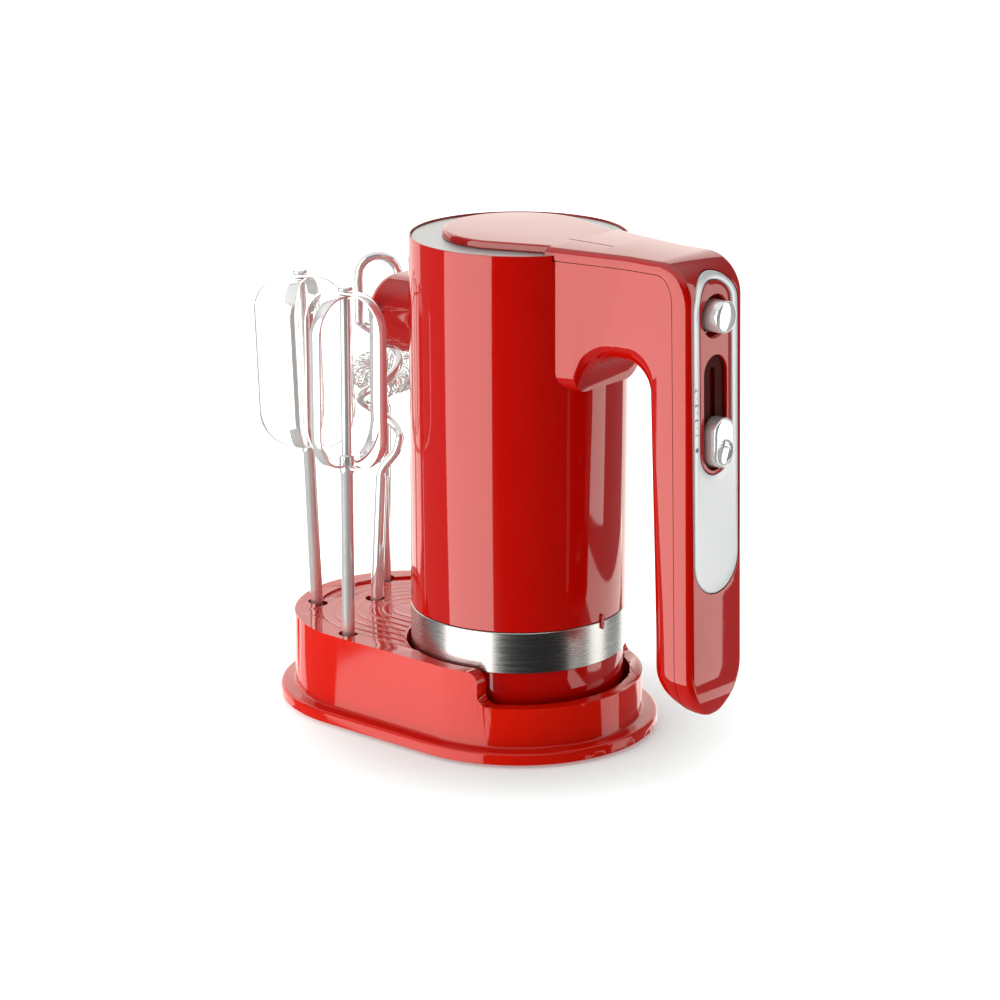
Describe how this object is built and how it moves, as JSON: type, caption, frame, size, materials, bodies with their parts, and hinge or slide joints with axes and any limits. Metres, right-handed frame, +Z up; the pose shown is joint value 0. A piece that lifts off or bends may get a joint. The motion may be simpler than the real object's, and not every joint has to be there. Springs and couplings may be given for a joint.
{
  "type": "hand mixer",
  "caption": "Upright hand mixer with a looped handle, thumb slider and release button, standing in a storage base with beaters, a dough hook and a coil whisk.",
  "frame": {"origin": "on the floor, under the mixer body's axis, at the middle of the centre foot", "axes": "+Z up along the body's axis, +X towards the handle, +Y to the left of someone facing along +X"},
  "size_m": [0.2286, 0.1261, 0.217],
  "materials": {
    "stand_red": "smooth glossy moulded plastic, slightly orange red",
    "dark_plastic": "fine satin plastic",
    "foot_rubber": "matt rubber",
    "screw_steel": "zinc plated",
    "body_red": "polished glossy moulded plastic",
    "silver_trim": "satin silver",
    "band_steel": "brushed around its axis",
    "chrome_parts": "bright plated steel",
    "motor_iron": "laminated electrical steel",
    "copper": "enamelled copper winding",
    "light_plastic": "natural acetal",
    "shaft_steel": "ground steel",
    "brass_parts": "plain brass",
    "carbon": "pressed carbon",
    "board_green": "coated circuit board"
  },
  "bodies": {
    "stand": {"stand_shell": "stand_red", "stand_base_plate": "dark_plastic", "stand_foot_1": "foot_rubber", "stand_foot_2": "foot_rubber", "stand_foot_3": "foot_rubber", "stand_foot_4": "foot_rubber", "stand_foot_5": "foot_rubber", "stand_screw_1": "screw_steel", "stand_screw_2": "screw_steel"},
    "mixer": {"body_shell": "body_red", "steel_band": "band_steel", "tail_cap": "body_red", "front_ring": "silver_trim", "top_cover": "body_red", "trim_panel": "silver_trim", "control_inset": "body_red", "slider_track": "dark_plastic", "socket_housing": "body_red", "motor_stator": "motor_iron", "field_coil_1": "copper", "field_coil_2": "copper", "brush_holder_1": "brass_parts", "brush_holder_2": "brass_parts", "carbon_brush_1": "carbon", "carbon_brush_2": "carbon", "lower_bracket": "dark_plastic", "lower_bearing": "brass_parts", "upper_bracket": "dark_plastic", "upper_bearing": "brass_parts", "gear_frame": "light_plastic", "rod_guide": "dark_plastic", "switch_block": "dark_plastic", "switch_board": "board_green", "handle_screw_1": "screw_steel", "handle_screw_2": "screw_steel"},
    "motor_rotor": {"armature_shaft": "shaft_steel", "armature_core": "motor_iron", "winding_lower": "copper", "winding_upper": "copper", "commutator": "copper", "fan": "light_plastic"},
    "drive_1": {"drive_spindle_1": "shaft_steel", "worm_gear_1": "light_plastic"},
    "drive_2": {"drive_spindle_2": "shaft_steel", "worm_gear_2": "light_plastic"},
    "eject": {"eject_button": "chrome_parts", "eject_rod": "light_plastic", "eject_spring": "shaft_steel"},
    "speed_control": {"speed_slider": "chrome_parts", "slider_contact": "brass_parts"},
    "beater_1": {"beater_1_shaft": "chrome_parts", "beater_1_outer_loop": "chrome_parts", "beater_1_inner_loop": "chrome_parts"},
    "beater_2": {"beater_2_shaft": "chrome_parts", "beater_2_outer_loop": "chrome_parts", "beater_2_inner_loop": "chrome_parts"},
    "dough_hook": {"dough_hook_wire": "chrome_parts", "dough_hook_shaft": "chrome_parts"},
    "whisk": {"whisk_coil": "chrome_parts", "whisk_shaft": "chrome_parts"}
  },
  "joints": [
    {"name": "mixer_lift", "type": "slide", "parent": "stand", "child": "mixer", "axis": [0, 0, 1], "range_m": [0, 0.215]},
    {"name": "motor_spin", "type": "hinge", "parent": "mixer", "child": "motor_rotor", "pos_m": [0, 0, 0.095], "axis": [0, 0, 1], "continuous": true},
    {"name": "drive_1_spin", "type": "hinge", "parent": "mixer", "child": "drive_1", "pos_m": [0, -0.013, 0.174], "axis": [1, 0, 0], "continuous": true},
    {"name": "drive_2_spin", "type": "hinge", "parent": "mixer", "child": "drive_2", "pos_m": [0, 0.013, 0.174], "axis": [1, 0, 0], "continuous": true},
    {"name": "eject_press", "type": "slide", "parent": "mixer", "child": "eject", "axis": [-1, 0, 0], "range_m": [0, 0.0045], "stiffness_N_per_m": 500, "springref_m": -0.002, "deforming": ["eject_spring"]},
    {"name": "speed_slide", "type": "slide", "parent": "mixer", "child": "speed_control", "axis": [-0.027, 0, 0.9996], "range_m": [0, 0.024]},
    {"name": "beater_1_lift", "type": "slide", "parent": "stand", "child": "beater_1", "axis": [-0.0257, -0.0216, 0.9994], "range_m": [0, 0.215]},
    {"name": "beater_2_lift", "type": "slide", "parent": "stand", "child": "beater_2", "axis": [0.0015, 0.0013, 1], "range_m": [0, 0.215]},
    {"name": "dough_hook_lift", "type": "slide", "parent": "stand", "child": "dough_hook", "axis": [0.0367, 0.0308, 0.9988], "range_m": [0, 0.215]},
    {"name": "whisk_lift", "type": "slide", "parent": "stand", "child": "whisk", "axis": [0.0077, 0.0064, 1], "range_m": [0, 0.215]}
  ],
  "couplings": [
    {"joint": "drive_1_spin", "follows": "motor_spin", "ratio": 0.1},
    {"joint": "drive_2_spin", "follows": "motor_spin", "ratio": -0.1}
  ]
}
